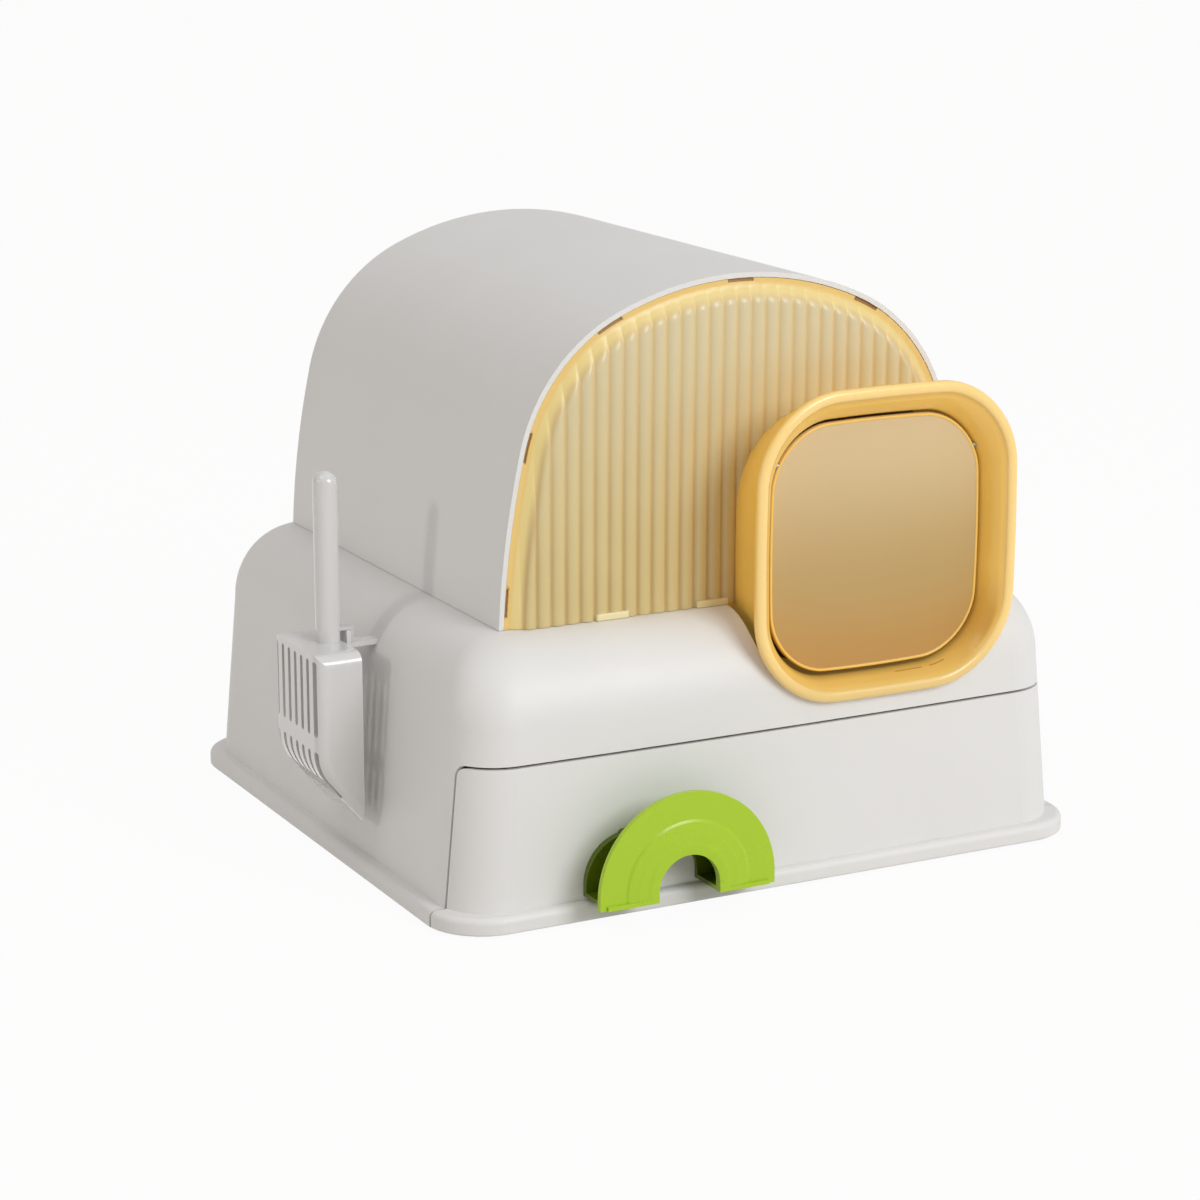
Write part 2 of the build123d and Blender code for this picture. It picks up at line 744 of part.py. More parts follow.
with BuildPart() as front_panel:
    panel_plate(panel_front, panel_wall, hood_wall + fit_gap)
    # Raised field, its sides sloped back to the border, hollow behind
    with BuildSketch(front_plane(panel_front)):
        arch_outline(hood_wall + fit_gap + window_border, hood_foot - overcut)
    extrude(amount=window_rise, taper=window_slope)
    add(window_hollow.part, mode=Mode.SUBTRACT)
    # Flutes: shallow upright grooves side by side
    flute_radius = ((flute_pitch / 2) ** 2 + flute_depth**2) / (2 * flute_depth)
    flute_count = 2 * int(flank_half(hood_foot) / flute_pitch) + 1
    with BuildSketch(Plane.XY.offset(hood_foot)):
        with Locations((0, panel_front - window_rise - flute_radius + flute_depth)):
            with GridLocations(flute_pitch, 1, flute_count, 1):
                Circle(flute_radius)
    extrude(amount=hood_height, mode=Mode.SUBTRACT)
    # Snap tabs along the foot of the field
    with BuildSketch(front_plane(panel_front)):
        with Locations(*[(place, hood_foot + window_tab_height / 2) for place in window_tab_places]):
            Rectangle(window_tab_width, window_tab_height)
    extrude(amount=window_rise + window_tab_wall)
    # Flat border round the tunnel, and the opening that the tunnel passes through
    with BuildSketch(front_plane(panel_front)):
        soft_square(
            throat_width + 4 * collar_reach,
            throat_height + 4 * collar_reach,
            throat_corner + 2 * collar_reach,
            (tunnel_centre, tunnel_middle),
        )
    extrude(amount=2 * window_rise, mode=Mode.SUBTRACT)
    with BuildSketch(front_plane(panel_back)):
        soft_square(
            throat_width + 2 * fit_gap,
            throat_height + 2 * fit_gap,
            throat_corner + fit_gap,
            (tunnel_centre, tunnel_middle),
        )
        arch_spokes(notch_angles, notch_length, hood_wall, notch_depth)
        with Locations((tunnel_centre + throat_width, tunnel_middle)):
            Rectangle(throat_width + 2 * fit_gap, throat_height - throat_corner)
    extrude(amount=2 * panel_wall, mode=Mode.SUBTRACT)
    with BuildSketch(Plane.XY.offset(hood_foot - overcut)):
        Rectangle(flange_width, flange_depth)
    extrude(amount=overcut, mode=Mode.SUBTRACT)

with BuildPart() as entry_tunnel:
    funnel_form(0)
    with BuildSketch(front_plane(lip_plane)):
        soft_square(lip_width, lip_height, lip_corner, cutout_centre)
    extrude(amount=lip_thickness)
    fillet(entry_tunnel.faces().sort_by(Axis.Y)[0].edges(), lip_rounding)
    with BuildSketch(front_plane(panel_front)):
        soft_square(
            throat_width + 2 * collar_reach,
            throat_height + 2 * collar_reach,
            throat_corner + collar_reach,
            (tunnel_centre, tunnel_middle),
        )
        arch_outline(hood_wall + fit_gap, hood_foot - overcut, mode=Mode.INTERSECT)
    extrude(amount=collar_wall)
    # Bosses that hold the flap's pins
    for side in (-1, 1):
        with BuildSketch(Plane.YZ.offset(tunnel_centre + side * (pin_end + tunnel_wall))):
            with Locations((flap_plane, flap_axis)):
                Circle(boss_radius)
        extrude(amount=-side * (pin_seat + 3 * tunnel_wall))
    funnel_form(tunnel_wall, Mode.SUBTRACT)
    with BuildSketch(front_plane(lip_plane - lip_thickness / 2)):
        soft_square(
            lip_width - 2 * lip_band,
            lip_height - 2 * lip_band,
            lip_corner - lip_band,
            cutout_centre,
        )
    extrude(amount=lip_thickness, mode=Mode.SUBTRACT)
    with BuildSketch(Plane.YZ.offset(tunnel_centre - pin_end - running_gap)):
        with Locations((flap_plane, flap_axis)):
            Circle(pin_radius + bore_gap)
    extrude(amount=2 * (pin_end + running_gap), mode=Mode.SUBTRACT)

with BuildPart() as tunnel_retainer:
    with BuildSketch(front_plane(panel_back + retainer_wall)):
        soft_square(
            throat_width + 2 * collar_reach,
            throat_height + 2 * collar_reach,
            throat_corner + collar_reach,
            (tunnel_centre, tunnel_middle),
        )
        soft_square(
            throat_width + 2 * fit_gap,
            throat_height + 2 * fit_gap,
            throat_corner + fit_gap,
            (tunnel_centre, tunnel_middle),
            mode=Mode.SUBTRACT,
        )
        arch_outline(hood_wall + fit_gap, hood_foot - overcut, mode=Mode.INTERSECT)
    extrude(amount=retainer_wall)

with BuildPart() as flap_door:
    with BuildSketch(front_plane(flap_plane - flap_wall / 2)):
        soft_square(flap_width, flap_height, flap_corner, (tunnel_centre, flap_middle))
    extrude(amount=-flap_wall)
    with BuildSketch(front_plane(flap_plane - flap_wall / 2 - flap_bead)):
        soft_square(flap_width, flap_height, flap_corner, (tunnel_centre, flap_middle))
        soft_square(
            flap_width - 2 * flap_bead_width,
            flap_height - 2 * flap_bead_width,
            flap_corner - flap_bead_width,
            (tunnel_centre, flap_middle),
            mode=Mode.SUBTRACT,
        )
    extrude(amount=-(flap_wall + 2 * flap_bead))
    for side in (-1, 1):
        with BuildSketch(Plane.YZ.offset(tunnel_centre + side * flap_edge)):
            with Locations((flap_plane, flap_axis)):
                Circle(knuckle_radius)
        extrude(amount=-side * pin_length)
        with BuildSketch(Plane.YZ.offset(tunnel_centre + side * (pin_end - pin_length))):
            with Locations((flap_plane, flap_axis)):
                Circle(pin_radius)
        extrude(amount=side * 2 * pin_length, mode=Mode.SUBTRACT)

with BuildPart() as flap_hinge_pins:
    for side in (-1, 1):
        with BuildSketch(Plane.YZ.offset(tunnel_centre + side * (pin_end - pin_length))):
            with Locations((flap_plane, flap_axis)):
                Circle(pin_radius)
        extrude(amount=side * pin_length)

# ---- Litter scoop --------------------------------------------------------------------------------

with BuildPart() as litter_scoop:
    bowl_form(0)
    fillet(bowl_edges(litter_scoop), scoop_rounding)
    add(bowl_hollow.part, mode=Mode.SUBTRACT)
    # Round handle with a domed end, and the bridge and tongue that hang over the hook's lip
    with BuildSketch(Plane.XY.offset(scoop_top - scoop_wall)):
        with Locations((scoop_bar, scoop_place)):
            Circle(scoop_handle_radius)
    extrude(amount=scoop_tip - scoop_handle_radius - scoop_top + scoop_wall)
    with Locations((scoop_bar, scoop_place, scoop_tip - scoop_handle_radius)):
        Sphere(scoop_handle_radius)
    with BuildSketch(Plane.XZ.offset(-scoop_place)):
        with BuildLine():
            Polyline(
                (scoop_bar, pad_foot),
                (tongue_front, pad_foot),
                (tongue_front, tongue_foot),
                (tongue_front + tongue_wall, tongue_foot),
                (tongue_front + tongue_wall, pad_foot + tongue_wall),
                (scoop_bar, pad_foot + tongue_wall),
                close=True,
            )
        make_face()
    extrude(amount=tongue_width / 2, both=True)
    # Two rows of sifting slots
    for middle, length in ((slot_middle, slot_length), (short_slot_middle, short_slot_length)):
        with BuildSketch(Plane.YZ.offset(scoop_face - overcut)):
            with Locations((scoop_place, middle)):
                with GridLocations(slot_pitch, 1, slot_count, 1):
                    SlotOverall(length, slot_width, rotation=90)
        extrude(amount=overcut + scoop_depth * 0.9, mode=Mode.SUBTRACT)

# ---- Labels and files ----------------------------------------------------------------------------

for name, piece in {
    "base_plate": base_plate,
    "foot_pads": foot_pads,
    "housing": housing,
    "scoop_hook": scoop_hook,
    "drawer_front": drawer_front,
    "litter_tray": litter_tray,
    "drawer_handle": drawer_handle,
    "handle_screws": handle_screws,
    "hood_shell": hood_shell,
    "rear_panel": rear_panel,
    "front_panel": front_panel,
    "entry_tunnel": entry_tunnel,
    "tunnel_retainer": tunnel_retainer,
    "flap_door": flap_door,
    "flap_hinge_pins": flap_hinge_pins,
    "litter_scoop": litter_scoop,
}.items():
    piece.part.label = name
    export_step(piece.part, f"parts/{name}.step")
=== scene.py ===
"""Drawer litter box: finishes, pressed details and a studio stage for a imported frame."""

from math import radians

import bpy
import numpy as np
from bpy.props import FloatProperty, FloatVectorProperty, PointerProperty
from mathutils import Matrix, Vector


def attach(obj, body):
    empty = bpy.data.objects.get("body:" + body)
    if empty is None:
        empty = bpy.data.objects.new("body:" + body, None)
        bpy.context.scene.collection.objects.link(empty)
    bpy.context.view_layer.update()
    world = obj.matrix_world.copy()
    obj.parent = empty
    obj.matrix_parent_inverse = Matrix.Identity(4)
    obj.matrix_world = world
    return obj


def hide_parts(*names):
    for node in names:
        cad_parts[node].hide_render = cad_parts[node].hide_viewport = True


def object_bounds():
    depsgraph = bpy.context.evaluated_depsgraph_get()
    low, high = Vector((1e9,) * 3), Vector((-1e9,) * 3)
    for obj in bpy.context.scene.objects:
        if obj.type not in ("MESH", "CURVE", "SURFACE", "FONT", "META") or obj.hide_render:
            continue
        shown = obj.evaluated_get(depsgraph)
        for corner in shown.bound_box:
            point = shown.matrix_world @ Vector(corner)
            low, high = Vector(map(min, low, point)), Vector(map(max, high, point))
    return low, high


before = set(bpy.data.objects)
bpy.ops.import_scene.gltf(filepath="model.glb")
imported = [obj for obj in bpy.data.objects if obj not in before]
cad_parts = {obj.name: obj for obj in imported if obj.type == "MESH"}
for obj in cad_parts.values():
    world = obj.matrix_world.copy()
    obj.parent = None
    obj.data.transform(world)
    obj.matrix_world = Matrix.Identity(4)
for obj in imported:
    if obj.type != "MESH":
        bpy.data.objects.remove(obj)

bl_info = {
    "name": "Drawer Litter Box",
    "version": (1, 0, 0),
    "blender": (4, 5, 0),
    "location": "3D View > Sidebar > Litter Box",
    "description": "Finishes and details for a drawer litter box with a vaulted hood",
    "category": "Add Mesh",
}

CAD_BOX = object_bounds()


# ---- Shader maths --------------------------------------------------------------------------------


class Value:
    """A value socket in a material: + - * and comparisons add Math nodes."""

    def __init__(self, finish, socket):
        self.finish = finish
        self.socket = socket

    def _math(self, operation, *others):
        return self.finish.node("ShaderNodeMath", {"operation": operation}, *others)

    def __add__(self, other):
        return self._math("ADD", self, other)

    def __sub__(self, other):
        return self._math("SUBTRACT", self, other)

    def __mul__(self, other):
        return self._math("MULTIPLY", self, other)

    def __rsub__(self, other):
        return self._math("SUBTRACT", other, self)

    def __lt__(self, other):
        return self._math("LESS_THAN", self, other)

    def __gt__(self, other):
        return self._math("GREATER_THAN", self, other)

    __radd__ = __add__

    def clamp(self):
        return self.finish.node("ShaderNodeClamp", {}, self)

    def smooth(self, low, high):
        """0 below low, 1 above high, eased in between."""
        kind = {"interpolation_type": "SMOOTHSTEP"}
        return self.finish.node("ShaderNodeMapRange", kind, self, low, high, 0.0, 1.0)


class Finish:
    """A procedural material on Object coordinates, built from plain expressions."""

    def __init__(self, name, **constants):
        self.material = bpy.data.materials.new(name)
        self.material.use_nodes = True
        self.tree = self.material.node_tree
        self.shader = self.tree.nodes["Principled BSDF"]
        for socket, value in constants.items():
            self.shader.inputs[socket.replace("_", " ")].default_value = value
        self.place = self.node("ShaderNodeTexCoord", {}, output="Object")
        split = self.tree.nodes.new("ShaderNodeSeparateXYZ")
        self.link(self.place, split.inputs[0])
        self.x, self.y, self.z = (Value(self, split.outputs[i]) for i in range(3))

    def link(self, value, socket):
        if isinstance(value, Value):
            self.tree.links.new(value.socket, socket)
        else:
            socket.default_value = value

    def node(self, kind, settings, *inputs, output=0, **named):
        """Any node: its settings, then its sockets' values or links, in order or by name."""
        node = self.tree.nodes.new(kind)
        for setting, value in settings.items():
            setattr(node, setting, value)
        for socket, value in zip(node.inputs, inputs):
            if value is not None:
                self.link(value, socket)
        for socket, value in named.items():
            self.link(value, node.inputs[socket.replace("_", " ")])
        return Value(self, node.outputs[output])

    def noise(self, scale, detail=2.0):
        """Noise with features about 1/scale metres across."""
        return self.node("ShaderNodeTexNoise", {}, Vector=self.place, Scale=scale, Detail=detail)

    def blend(self, amount, first, second):
        """Colour mix from first to second."""
        node = self.tree.nodes.new("ShaderNodeMix")
        node.data_type = "RGBA"
        self.link(amount, node.inputs[0])
        for colour, socket in ((first, node.inputs[6]), (second, node.inputs[7])):
            self.link(colour if isinstance(colour, Value) else (*colour[:3], 1.0), socket)
        return Value(self, node.outputs[2])

    def relief(self, height, distance, strength):
        """Bump from a height between 0 and 1, with its distance in metres."""
        bump = self.node(
            "ShaderNodeBump", {}, Height=height, Distance=distance, Strength=strength
        )
        self.link(bump, self.shader.inputs["Normal"])

    def seen(self):
        """1 for what the camera sees, also mirrored or through glass, and 0 for other light."""
        rays = ("Is Camera Ray", "Is Glossy Ray", "Is Transmission Ray")
        camera, glossy, through = (self.node("ShaderNodeLightPath", {}, output=ray) for ray in rays)
        return (camera + glossy + through).clamp()

    def colour(self, value):
        self.link(value, self.shader.inputs["Base Color"])

    def rough(self, value):
        self.link(value, self.shader.inputs["Roughness"])


# ---- Surfaces on grids ---------------------------------------------------------------------------

# Millimetres, as in the part's source. Depths are places along y, which is negative at the front.
FOOT = 189.3
# Arcs of the vault's outline on each side: centre across, centre up and radius, and where they meet
CROWN = (0.0, 186.0, 230.0)
HAUNCH = (41.487, 279.182, 128.0)
FLANK = (-486.623, 157.257, 670.0)
CROWN_ANGLE = radians(24.0)
HAUNCH_ANGLE = radians(77.0)

# Window: its border, the eased slope inside it and the flutes on the raised field
PANEL_INSET = 3.9
PANEL_FRONT = -170.0
PANEL_WALL = 2.5
WINDOW_BORDER = 2.5
WINDOW_SLOPE = 14.0
WINDOW_RISE = 7.0
BACK_BORDER = 4.5
BACK_RISE = WINDOW_RISE - 0.6
FLUTE_PITCH = 10.8
FLUTE_DEPTH = 1.9
# Grid of the window: columns on the fluted field and beside it (from, to, count), and rows
FLUTE_COLUMNS = 16
FIELD_COLUMNS = 222
SIDE_COLUMNS = ((-178.6, -150.6, 80), (150.6, 166.4, 40))
FOOT_ROWS = (0, 1.5, 3, 4.4, 4.7, 6, 9)
FULL_COLUMN = 40.0
WINDOW_ROWS = 96
ROW_CROWDING = 1.6
# Snap tabs along the foot, and notches along the arch
TAB_PLACES = (-101.0, -24.0)
TAB_HALF_WIDTH = 12.0
TAB_HEIGHT = 4.5
TAB_RISE = WINDOW_RISE + 1.15
NOTCH_ANGLES = (-97, -63, -32, 0, 32, 63)
NOTCH_CENTRE = 229.0
NOTCH_HALF_WIDTH = 10.0
NOTCH_REACH = 2.2
NOTCH_DEPTH = 1.4

# Tunnel: centre (across, up), throat (width, height) and lip (width, height, corner)
TUNNEL = (83.3, 228.8)
THROAT = (177.0, 186.5)
LIP = (208.0, 217.0, 60.0)
SIDE_CROWN = 3.0
ARC_POINTS = 20
SIDE_POINTS = 26
# The tube's corners are tightest at the flap, and widest where it passes the window
THROAT_CORNER = 47.0
BELL_CORNER_GAIN = 5.0
WINDOW_CORNER = 58.0
CORNER_FROM = -204.0
CORNER_RUN = 33.5
OPENING_OVERLAP = 1.9
# Depths of the tube's end, the bell and the lip
TUBE_END = -160.5
BELL_FROM = -208.0
BELL_RUN = 23.0
BELL_FLARE = (20.0, 19.5)
BELL_END = -228.5
BELL_WALL = 2.0
THICKENING = 1.0
THICKENING_FROM = -206.0
THICKENING_RUN = 3.0
LIP_RAISE = 4.7
LIP_BAND = 8.0
LIP_PLANE = -229.8
LIP_ROLL = 3.2
LIP_BACK = -227.0
LIP_RETURN = ((-228.0, 0.0), (-227.2, 0.2), (LIP_BACK, 1.0))
# Bosses over the hinge pins: radius and reach from the tunnel's middle
BOSS_PROFILE = ((4.6, 82.5), (4.6, 89.3), (4.3, 89.8), (3.8, 90.0), (0.01, 90.0))

# Flap (width, height, corner), and its rim's profile: inset from the edge, and half thickness
FLAP = (168.4, 175.7, 42.7)
FLAP_MIDDLE = 229.9
FLAP_PLANE = -212.0
FLAP_AXIS = 290.75
FLAP_PROFILE = (
    (3.0, 1.5),
    (2.6, 1.55),
    (2.2, 2.0),
    (1.6, 2.28),
    (1.0, 2.2),
    (0.5, 1.8),
    (0.1, 1.0),
    (0.0, 0.0),
)

# Handle: place across, heights of its legs' feet and of its arch's centre, and the profile of the
# band on its face as radius and depth
HANDLE_CENTRE = -89.0
HANDLE_FOOT = 17.0
HANDLE_AXIS = 24.0
RIB_PROFILE = (
    (47.2, -263.9),
    (46.3, -264.25),
    (45.5, -264.85),
    (44.7, -265.06),
    (39.8, -265.08),
    (38.9, -265.2),
    (37.9, -265.5),
    (37.1, -265.56),
    (31.8, -265.58),
    (30.8, -265.72),
    (29.8, -266.0),
    (28.9, -266.04),
    (23.9, -266.04),
    (23.2, -265.85),
    (22.95, -265.2),
    (22.94, -264.0),
)


def surface(name, grids):
    """Joins grids of points in mm, each (points, wrapped, kept), to one smooth mesh at the origin.

    A grid has shape (rows, columns, 3); wrapped closes its columns. Quads with a corner outside
    kept are left out.
    """
    points, quads, start = [], [], 0
    for grid, wrapped, kept in grids:
        rows, columns = grid.shape[:2]
        index = np.arange(rows * columns).reshape(rows, columns)
        if wrapped:
            index = np.column_stack((index, index[:, :1]))
        corners = (index[:-1, :-1], index[:-1, 1:], index[1:, 1:], index[1:, :-1])
        cells = np.stack(corners, -1).reshape(-1, 4)
        if kept is not None:
            cells = cells[kept.ravel()[cells].all(axis=1)]
        used, cells = np.unique(cells, return_inverse=True)
        points.append(grid.reshape(-1, 3)[used])
        quads.append(cells.reshape(-1, 4) + start)
        start += len(used)
    mesh = bpy.data.meshes.new(name)
    mesh.from_pydata((np.concatenate(points) / 1000).tolist(), [], np.concatenate(quads).tolist())
    mesh.shade_smooth()
    made = bpy.data.objects.new(name, mesh)
    bpy.context.scene.collection.objects.link(made)
    return made


def on_panel(x, z, y):
    """Grid of points from their places across, up and in depth."""
    return np.stack(np.broadcast_arrays(x, y, z), -1)


def arch_inset(x, z):
    """Distance inwards from the vault's outline, which is three tangent arcs on each side."""
    x = np.abs(x)
    angle = np.arctan2(x - HAUNCH[0], z - HAUNCH[1])
    insets = [radius - np.hypot(x - cx, z - cz) for cx, cz, radius in (CROWN, HAUNCH, FLANK)]
    return np.select((angle < CROWN_ANGLE, angle < HAUNCH_ANGLE), insets[:2], insets[2])


def arch_top(x, inset):
    """Height of the vault's outline above a place across, moved inwards."""
    x = np.abs(x)
    tops = [
        cz + np.sqrt(np.maximum((radius - inset) ** 2 - (x - cx) ** 2, 0))
        for cx, cz, radius in (CROWN, HAUNCH, FLANK)
    ]
    ends = (
        (CROWN[2] - inset) * np.sin(CROWN_ANGLE),
        HAUNCH[0] + (HAUNCH[2] - inset) * np.sin(HAUNCH_ANGLE),
    )
    return np.select((x < ends[0], x < ends[1]), tops[:2], tops[2])


def eased(t):
    """Smooth step: 3t^2 - 2t^3 between 0 and 1."""
    t = np.clip(t, 0, 1)
    return t * t * (3 - 2 * t)


def soft_loop(width, height, corner):
    """Points round a square with crowned sides and rounded corners.

    A rounded rectangle, its sides pushed out by crown (1 - s^2) along each half side s.
    """
    half = np.array((width, height)) / 2 - SIDE_CROWN
    arcs = []
    for quarter in range(4):
        angle = radians(90) * (quarter + np.linspace(0, 1, ARC_POINTS))
        turn = np.column_stack((np.cos(angle), np.sin(angle)))
        way = np.sign(turn[ARC_POINTS // 2])
        arcs.append(way * (half - corner) + corner * turn)
    loop = []
    for arc, after in zip(arcs, arcs[1:] + arcs[:1]):
        share = np.linspace(0, 1, SIDE_POINTS)[1:-1, None]
        loop += [arc, arc[-1] + share * (after[0] - arc[-1])]
    loop = np.concatenate(loop)
    return loop * (1 + SIDE_CROWN * (1 - (loop[:, ::-1] / half[::-1]) ** 2) / half)


def ring(y, width, height, corner, middle):
    """One soft square loop at a depth, centred on the tunnel."""
    loop = soft_loop(width, height, corner) + (TUNNEL[0], middle)
    return on_panel(loop[:, 0], loop[:, 1], y)


def fluted_window():
    """Height field y = front - h(x, z) on columns under the arch.

    h is the border's slope, eased over the inset, times the upright reeds,
    rise - depth (2 x / pitch)^2, with snap tabs along the foot and notches along the arch.
    """
    field = np.arange(-FIELD_COLUMNS, FIELD_COLUMNS + 1) * (FLUTE_PITCH / FLUTE_COLUMNS)
    left, right = (np.linspace(*span) for span in SIDE_COLUMNS)
    across = np.concatenate((left, field, right))
    tall = arch_top(across, PANEL_INSET) - FOOT
    low = np.array(FOOT_ROWS)[:, None] * np.minimum(1, tall / FULL_COLUMN)
    share = 1 - (1 - np.linspace(0, 1, WINDOW_ROWS)[1:, None]) ** ROW_CROWDING
    z = FOOT + np.concatenate((low, low[-1] + share * (tall - low[-1])))
    x = np.broadcast_to(across, z.shape)
    edge = arch_inset(x, z) - PANEL_INSET
    slope = eased((edge - WINDOW_BORDER) / WINDOW_SLOPE)
    place = x / FLUTE_PITCH
    h = slope * (WINDOW_RISE - FLUTE_DEPTH * (2 * (place - np.round(place))) ** 2)
    for tab in TAB_PLACES:
        h = np.where((np.abs(x - tab) < TAB_HALF_WIDTH) & (z < FOOT + TAB_HEIGHT), TAB_RISE, h)
    for angle in np.radians(NOTCH_ANGLES):
        along = x * np.sin(angle) + (z - NOTCH_CENTRE) * np.cos(angle)
        aside = np.abs(x * np.cos(angle) - (z - NOTCH_CENTRE) * np.sin(angle))
        notch = (aside < NOTCH_HALF_WIDTH) & (along > 0) & (edge < NOTCH_REACH)
        h = np.where(notch, -NOTCH_DEPTH, h)
    # The opening that the tunnel passes through, with its edge inside the tube's wall
    dx, dz = np.abs(x - TUNNEL[0]), np.abs(z - TUNNEL[1])
    half_x, half_z = np.array(THROAT) / 2 - SIDE_CROWN
    past_x = np.maximum(dx - (half_x - WINDOW_CORNER), 0)
    past_z = np.maximum(dz - (half_z - WINDOW_CORNER), 0)
    past = np.hypot(past_x, past_z) - WINDOW_CORNER
    crown = 1 - np.minimum(1, np.minimum(dx / half_x, dz / half_z)) ** 2
    kept = past > SIDE_CROWN * crown - OPENING_OVERLAP
    front = on_panel(x, z, PANEL_FRONT - h)
    back_slope = eased((edge - BACK_BORDER) / WINDOW_SLOPE)
    back = on_panel(x, z, PANEL_FRONT + PANEL_WALL - BACK_RISE * back_slope)
    rim = np.stack((front[-1], back[-1]))
    sill = np.stack((front[0], back[0]))
    coarse = np.s_[::-4, ::5]
    return surface(
        "fluted_window",
        (
            (front, False, kept),
            (back[coarse], False, kept[coarse]),
            (rim, False, np.stack((kept[-1], kept[-1]))),
            (sill[::-1], False, np.stack((kept[0], kept[0]))),
        ),
    )


def bell(y):
    """How far the tunnel has flared at a depth: 0 at the throat and 1 at the lip."""
    return np.clip((BELL_FROM - y) / BELL_RUN, 0, 1) ** 2


def bell_wall(y):
    """Wall of the tunnel at a depth, thicker round the closed flap."""
    return BELL_WALL + THICKENING * eased((THICKENING_FROM - y) / THICKENING_RUN)


def tube_ring(y, skin):
    """Section of the tunnel's tube and bell at a depth, its surface moved inwards by the skin."""
    share = float(bell(y))
    widening = (WINDOW_CORNER - THROAT_CORNER) * eased((y - CORNER_FROM) / CORNER_RUN)
    corner = THROAT_CORNER + BELL_CORNER_GAIN * share + widening
    return ring(
        y,
        THROAT[0] + BELL_FLARE[0] * share - 2 * skin,
        THROAT[1] + BELL_FLARE[1] * share - 2 * skin,
        corner - skin,
        TUNNEL[1] + LIP_RAISE * share,
    )


def lip_ring(y, inset):
    """Section of the rolled lip at a depth, moved inwards from its outer edge."""
    return ring(y, LIP[0] - 2 * inset, LIP[1] - 2 * inset, LIP[2] - inset, TUNNEL[1] + LIP_RAISE)


def entry_bell():
    """Tube with a flared bell and a rolled lip, lofted through soft squares at their depths.

    The bell flares by ((y0 - y) / run)^2, and the lip's roll is close to a half ellipse.
    """
    inner = [tube_ring(y, bell_wall(y)) for y in np.linspace(TUBE_END, BELL_END, 56)]
    for angle in np.linspace(0.12, np.pi, 18):
        y = LIP_PLANE - LIP_ROLL * np.sin(angle) ** 0.85
        inner.append(lip_ring(y, LIP_BAND / 2 * (1 + np.cos(angle))))
    inner += [lip_ring(y, inset) for y, inset in LIP_RETURN]
    outer = [tube_ring(y, 0) for y in np.linspace(LIP_BACK, TUBE_END, 44)]
    end = [outer[-1], inner[0]]
    grids = [(np.stack(rings), True, None) for rings in (inner[::-1], outer[::-1], end[::-1])]
    # Round bosses over the ends of the flap's pins
    angle = np.linspace(0, 2 * np.pi, 32, endpoint=False)
    radius, reach = np.array(BOSS_PROFILE).T[:, :, None]
    for side in (-1, 1):
        up = FLAP_AXIS + side * radius * np.cos(angle)
        boss = on_panel(TUNNEL[0] + side * reach, up, FLAP_PLANE + radius * np.sin(angle))
        grids.append((boss, True, None))
    return surface("entry_bell", grids)


def flap_ring(y, inset):
    """Section of the flap at a depth, moved inwards from its edge."""
    return ring(y, FLAP[0] - 2 * inset, FLAP[1] - 2 * inset, FLAP[2] - inset, FLAP_MIDDLE)


def swing_flap():
    """Flat soft square with a fine raised rim and a round edge, the same in front and behind."""
    rim = [flap_ring(FLAP_PLANE - deep, inset) for inset, deep in FLAP_PROFILE]
    rim += [flap_ring(FLAP_PLANE + deep, inset) for inset, deep in FLAP_PROFILE[-2::-1]]
    middle = np.array((TUNNEL[0], 0, FLAP_MIDDLE))
    shares = np.linspace(0.0005, 1, 8)
    faces = []
    for edge in (rim[0], rim[-1]):
        flat = edge * (1, 0, 1)
        depth = edge * (0, 1, 0)
        faces.append([middle + (flat - middle) * share + depth for share in shares])
    rows = faces[0] + rim[1:-1] + faces[1][::-1]
    return surface("swing_flap", [(np.stack(rows), True, None)])


def arch_ribs():
    """Stepped band on the handle's face: its profile swept up a leg, round the arch and down."""
    angles = np.radians(np.linspace(180, 0, 73))
    path = [
        (-1.0, 0.0, HANDLE_FOOT),
        *((np.cos(angle), np.sin(angle), HANDLE_AXIS) for angle in angles),
        (1.0, 0.0, HANDLE_FOOT),
    ]
    aside, up, base = (np.array(part)[:, None] for part in zip(*path))
    radius, depth = np.array(RIB_PROFILE).T
    band = on_panel(HANDLE_CENTRE + aside * radius, base + up * radius, depth)
    return surface("arch_ribs", [(band, False, None)])


def fit_piece(piece, node, body, finish):
    """A surface rides on a body in place of a carried-over node, with its finish."""
    piece.data.materials.append(finish.material)
    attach(piece, body)
    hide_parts(node)


def dress(node, finish):
    """Give a carried-over node its finish."""
    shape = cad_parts[node]
    shape.data.materials.clear()
    shape.data.materials.append(finish.material)


# ---- Settings ------------------------------------------------------------------------------------


def tint(name, description, default):
    return FloatVectorProperty(
        name=name, description=description, subtype="COLOR", size=3, min=0, max=1, default=default
    )


def lamp_power(name, description, default):
    return FloatProperty(name=name, description=description, unit="POWER", default=default)


class LitterBoxColours(bpy.types.PropertyGroup):
    """Colours of the mouldings."""

    body: tint("Body", "Off-white of the housing, hood and drawer", (0.795, 0.785, 0.772))
    window: tint("Window", "Tan of the fluted window", (0.74, 0.56, 0.27))
    border: tint("Window border", "Amber of the window's border", (0.83, 0.57, 0.18))
    tunnel: tint("Tunnel", "Amber of the entry tunnel", (0.93, 0.575, 0.11))
    flap: tint("Flap", "Tan of the swing flap", (0.60, 0.41, 0.21))
    handle: tint("Handle", "Lime of the drawer's handle", (0.42, 0.63, 0.015))


